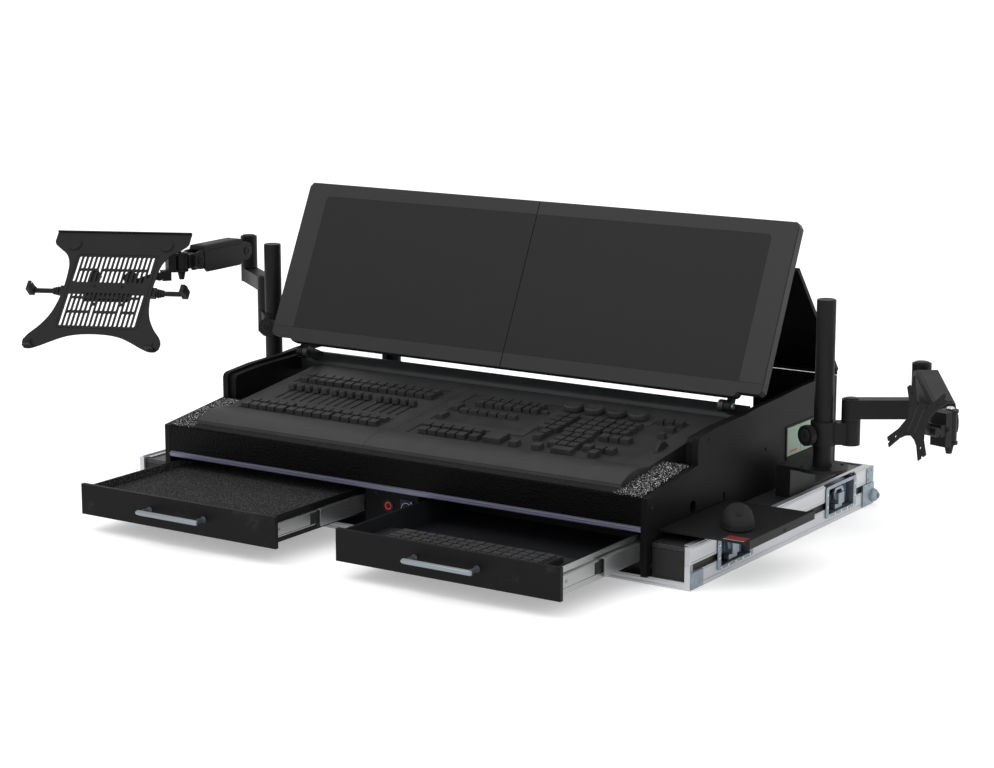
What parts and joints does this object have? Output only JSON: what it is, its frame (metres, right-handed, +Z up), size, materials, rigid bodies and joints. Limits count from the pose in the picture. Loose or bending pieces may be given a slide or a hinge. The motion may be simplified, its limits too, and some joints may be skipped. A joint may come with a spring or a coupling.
{
  "type": "lighting control workstation",
  "caption": "Lighting control desk in a flight-case tray with two tilting screens, pull-out drawers, and pole-mounted swing arms for a laptop tray and a display.",
  "frame": {"origin": "centre of the flight-case tray's underside, on the floor", "axes": "+X to the operator's right, +Y to the back, +Z up"},
  "size_m": [1.9374, 0.9949, 0.5487],
  "materials": {
    "bottom_extrusion": "extruded aluminium, satin",
    "centre_column": "black board",
    "cheek_left": "black board",
    "cheek_right": "black board",
    "console_left": "matt black",
    "console_rail": "blue-grey steel",
    "console_right": "matt black",
    "deck_panel": "dark grey speckled laminate",
    "drawer_left": "black board",
    "drawer_right": "black board",
    "encoder_1": "matt black",
    "encoder_2": "matt black",
    "encoder_3": "matt black",
    "encoder_4": "matt black",
    "end_block_left": "black powder coat",
    "end_block_right": "black powder coat",
    "faders_a": "matt black",
    "faders_b": "matt black",
    "faders_c": "matt black",
    "fascia": "rough textured black paint",
    "foam_surround": "speckled dark foam",
    "front_strip": "anodised, satin",
    "handle_left": "satin silver",
    "handle_right": "satin silver",
    "head_left": "black powder coat",
    "head_right": "black powder coat",
    "keyboard": "matt black",
    "keys_left_lower": "matt black",
    "keys_left_upper": "matt black",
    "keys_right_lower": "matt black",
    "keys_right_upper": "matt black",
    "knuckle_left": "black powder coat",
    "knuckle_right": "black powder coat",
    "laptop_tray": "black powder coat",
    "latch_dish_left_front": "zinc plated steel",
    "latch_dish_left_rear": "zinc plated steel",
    "latch_dish_right_front": "zinc plated steel",
    "latch_dish_right_rear": "zinc plated steel",
    "level_wheel": "matt black",
    "lower_link_left": "black powder coat",
    "lower_link_right": "black powder coat",
    "monitor_frame": "black powder coat",
    "monitor_left": "dark glass front, black shell",
    "monitor_right": "dark glass front, black shell",
    "mouse": "matt black",
    "mouse_tray": "black powder coat",
    "pole_left": "black powder coat",
    "pole_right": "black powder coat",
    "power_button": "red ring",
    "rear_flap": "black board",
    "rear_panel": "black board",
    "slide_inner_left": "bright zinc",
    "slide_inner_right": "bright zinc",
    "slide_outer_left": "bright zinc",
    "slide_outer_right": "bright zinc",
    "spring_arm_left": "black powder coat",
    "spring_arm_right": "black powder coat",
    "top_extrusion": "extruded aluminium, satin",
    "tray_shell": "black phenolic plywood",
    "vesa_plate": "black powder coat"
  },
  "bodies": {
    "base": {"tray_shell": "tray_shell", "deck_panel": "deck_panel", "bottom_extrusion": "bottom_extrusion", "top_extrusion": "top_extrusion", "front_strip": "front_strip", "foam_surround": "foam_surround", "fascia": "fascia", "console_rail": "console_rail", "rear_panel": "rear_panel", "cheek_left": "cheek_left", "cheek_right": "cheek_right", "centre_column": "centre_column", "console_left": "console_left", "console_right": "console_right", "pole_left": "pole_left", "pole_right": "pole_right", "latch_dish_left_front": "latch_dish_left_front", "latch_dish_left_rear": "latch_dish_left_rear", "latch_dish_right_front": "latch_dish_right_front", "latch_dish_right_rear": "latch_dish_right_rear"},
    "drawer_left": {"drawer_left": "drawer_left", "handle_left": "handle_left"},
    "drawer_right": {"drawer_right": "drawer_right", "handle_right": "handle_right", "keyboard": "keyboard"},
    "slides_left": {"slide_inner_left": "slide_inner_left", "slide_outer_left": "slide_outer_left"},
    "slides_right": {"slide_inner_right": "slide_inner_right", "slide_outer_right": "slide_outer_right"},
    "mouse_tray": {"mouse_tray": "mouse_tray", "mouse": "mouse"},
    "power_button": {"power_button": "power_button"},
    "faders_a": {"faders_a": "faders_a"},
    "faders_b": {"faders_b": "faders_b"},
    "faders_c": {"faders_c": "faders_c"},
    "level_wheel": {"level_wheel": "level_wheel"},
    "keys_left_upper": {"keys_left_upper": "keys_left_upper"},
    "keys_left_lower": {"keys_left_lower": "keys_left_lower"},
    "keys_right_upper": {"keys_right_upper": "keys_right_upper"},
    "keys_right_lower": {"keys_right_lower": "keys_right_lower"},
    "monitors": {"monitor_left": "monitor_left", "monitor_right": "monitor_right", "monitor_frame": "monitor_frame"},
    "rear_flap": {"rear_flap": "rear_flap"},
    "encoder_1": {"encoder_1": "encoder_1"},
    "encoder_2": {"encoder_2": "encoder_2"},
    "encoder_3": {"encoder_3": "encoder_3"},
    "encoder_4": {"encoder_4": "encoder_4"},
    "lower_link_left": {"lower_link_left": "lower_link_left"},
    "knuckle_left": {"knuckle_left": "knuckle_left"},
    "spring_arm_left": {"spring_arm_left": "spring_arm_left"},
    "end_block_left": {"end_block_left": "end_block_left"},
    "head_left": {"head_left": "head_left"},
    "lower_link_right": {"lower_link_right": "lower_link_right"},
    "knuckle_right": {"knuckle_right": "knuckle_right"},
    "spring_arm_right": {"spring_arm_right": "spring_arm_right"},
    "end_block_right": {"end_block_right": "end_block_right"},
    "head_right": {"head_right": "head_right"},
    "vesa_plate": {"vesa_plate": "vesa_plate"},
    "laptop_tray": {"laptop_tray": "laptop_tray"}
  },
  "joints": [
    {"name": "drawer_left_slide", "type": "slide", "parent": "base", "child": "drawer_left", "axis": [0, 1, 0], "range_m": [-0.09, 0.243]},
    {"name": "slides_left_travel", "type": "slide", "parent": "base", "child": "slides_left", "axis": [0, 1, 0], "range_m": [-0.046, 0.1225]},
    {"name": "drawer_right_slide", "type": "slide", "parent": "base", "child": "drawer_right", "axis": [0, 1, 0], "range_m": [-0.09, 0.243]},
    {"name": "slides_right_travel", "type": "slide", "parent": "base", "child": "slides_right", "axis": [0, 1, 0], "range_m": [-0.046, 0.1225]},
    {"name": "mouse_tray_slide", "type": "slide", "parent": "base", "child": "mouse_tray", "axis": [1, 0, 0], "range_m": [-0.058, 0]},
    {"name": "power_button_press", "type": "slide", "parent": "base", "child": "power_button", "axis": [0, 1, 0], "range_m": [0, 0.0015], "stiffness_N_per_m": 500, "springref_m": -0.002},
    {"name": "faders_a_slide", "type": "slide", "parent": "base", "child": "faders_a", "axis": [0, 0.9919, 0.1269], "range_m": [-0.05, 0.004]},
    {"name": "faders_b_slide", "type": "slide", "parent": "base", "child": "faders_b", "axis": [0, 0.9919, 0.1269], "range_m": [-0.05, 0.004]},
    {"name": "faders_c_slide", "type": "slide", "parent": "base", "child": "faders_c", "axis": [0, 0.9919, 0.1269], "range_m": [-0.05, 0.004]},
    {"name": "level_wheel_turn", "type": "hinge", "parent": "base", "child": "level_wheel", "pos_m": [0.429, -0.16153, 0.17439], "axis": [1, 0, 0], "range_deg": [-75, 75]},
    {"name": "encoder_1_turn", "type": "hinge", "parent": "base", "child": "encoder_1", "pos_m": [0.177, -0.03843, 0.19719], "axis": [0, -0.1269, 0.9919], "continuous": true},
    {"name": "encoder_2_turn", "type": "hinge", "parent": "base", "child": "encoder_2", "pos_m": [0.221, -0.03843, 0.19719], "axis": [0, -0.1269, 0.9919], "continuous": true},
    {"name": "encoder_3_turn", "type": "hinge", "parent": "base", "child": "encoder_3", "pos_m": [0.267, -0.03843, 0.19719], "axis": [0, -0.1269, 0.9919], "continuous": true},
    {"name": "encoder_4_turn", "type": "hinge", "parent": "base", "child": "encoder_4", "pos_m": [0.312, -0.03843, 0.19719], "axis": [0, -0.1269, 0.9919], "continuous": true},
    {"name": "keys_left_upper_press", "type": "slide", "parent": "base", "child": "keys_left_upper", "axis": [0, 0.1269, -0.9919], "range_m": [0, 0.0015], "stiffness_N_per_m": 1500, "springref_m": -0.002},
    {"name": "keys_left_lower_press", "type": "slide", "parent": "base", "child": "keys_left_lower", "axis": [0, 0.1269, -0.9919], "range_m": [0, 0.0015], "stiffness_N_per_m": 1500, "springref_m": -0.002},
    {"name": "keys_right_upper_press", "type": "slide", "parent": "base", "child": "keys_right_upper", "axis": [0, 0.1269, -0.9919], "range_m": [0, 0.0015], "stiffness_N_per_m": 1500, "springref_m": -0.002},
    {"name": "keys_right_lower_press", "type": "slide", "parent": "base", "child": "keys_right_lower", "axis": [0, 0.1269, -0.9919], "range_m": [0, 0.0015], "stiffness_N_per_m": 3500, "springref_m": -0.002},
    {"name": "monitor_tilt", "type": "hinge", "parent": "base", "child": "monitors", "pos_m": [0, -0.0006, 0.2326], "axis": [1, 0, 0], "range_deg": [-12, 68]},
    {"name": "flap_hinge", "type": "hinge", "parent": "base", "child": "rear_flap", "pos_m": [0, 0.343, 0.24], "axis": [1, 0, 0], "range_deg": [-125, 48]},
    {"name": "link_swivel_right", "type": "hinge", "parent": "base", "child": "lower_link_right", "pos_m": [0.652, 0.1144, 0.213], "axis": [0, 0, 1], "range_deg": [-35, 40]},
    {"name": "elbow_swivel_right", "type": "hinge", "parent": "lower_link_right", "child": "knuckle_right", "pos_m": [0.753, 0.181, 0.243], "axis": [0, 0, 1], "range_deg": [-45, 85]},
    {"name": "arm_lift_right", "type": "hinge", "parent": "knuckle_right", "child": "spring_arm_right", "pos_m": [0.77101, 0.15455, 0.285], "axis": [0.8266, 0.5627, 0], "range_deg": [-47, 28]},
    {"name": "arm_levelling_right", "type": "hinge", "parent": "spring_arm_right", "child": "end_block_right", "pos_m": [0.87662, -0.00059, 0.254], "axis": [0.8266, 0.5627, 0], "range_deg": [-28, 47]},
    {"name": "head_swivel_right", "type": "hinge", "parent": "end_block_right", "child": "head_right", "pos_m": [0.898, -0.032, 0.254], "axis": [0, 0, 1], "range_deg": [-30, 110]},
    {"name": "plate_tilt_right", "type": "hinge", "parent": "head_right", "child": "vesa_plate", "pos_m": [0.88453, -0.08015, 0.254], "axis": [0.963, -0.2694, 0], "range_deg": [-25, 35]},
    {"name": "link_swivel_left", "type": "hinge", "parent": "base", "child": "lower_link_left", "pos_m": [-0.652, 0.1144, 0.322], "axis": [0, 0, 1], "range_deg": [-60, 5]},
    {"name": "elbow_swivel_left", "type": "hinge", "parent": "lower_link_left", "child": "knuckle_left", "pos_m": [-0.758, 0.193, 0.352], "axis": [0, 0, 1], "range_deg": [-100, 6]},
    {"name": "arm_lift_left", "type": "hinge", "parent": "knuckle_left", "child": "spring_arm_left", "pos_m": [-0.75685, 0.16102, 0.39], "axis": [0.9994, 0.0359, 0], "range_deg": [-40, 20]},
    {"name": "arm_levelling_left", "type": "hinge", "parent": "spring_arm_left", "child": "end_block_left", "pos_m": [-0.75136, 0.00798, 0.39], "axis": [0.9994, 0.0359, 0], "range_deg": [-20, 40]},
    {"name": "head_swivel_left", "type": "hinge", "parent": "end_block_left", "child": "head_left", "pos_m": [-0.75, -0.03, 0.39], "axis": [0, 0, 1], "range_deg": [-45, 20]},
    {"name": "plate_tilt_left", "type": "hinge", "parent": "head_left", "child": "laptop_tray", "pos_m": [-0.77705, -0.07205, 0.365], "axis": [0.841, -0.5411, 0], "range_deg": [-10, 20]}
  ],
  "couplings": [
    {"joint": "slides_left_travel", "follows": "drawer_left_slide", "ratio": 0.5},
    {"joint": "slides_right_travel", "follows": "drawer_right_slide", "ratio": 0.5},
    {"joint": "arm_levelling_left", "follows": "arm_lift_left", "ratio": -1},
    {"joint": "arm_levelling_right", "follows": "arm_lift_right", "ratio": -1}
  ]
}
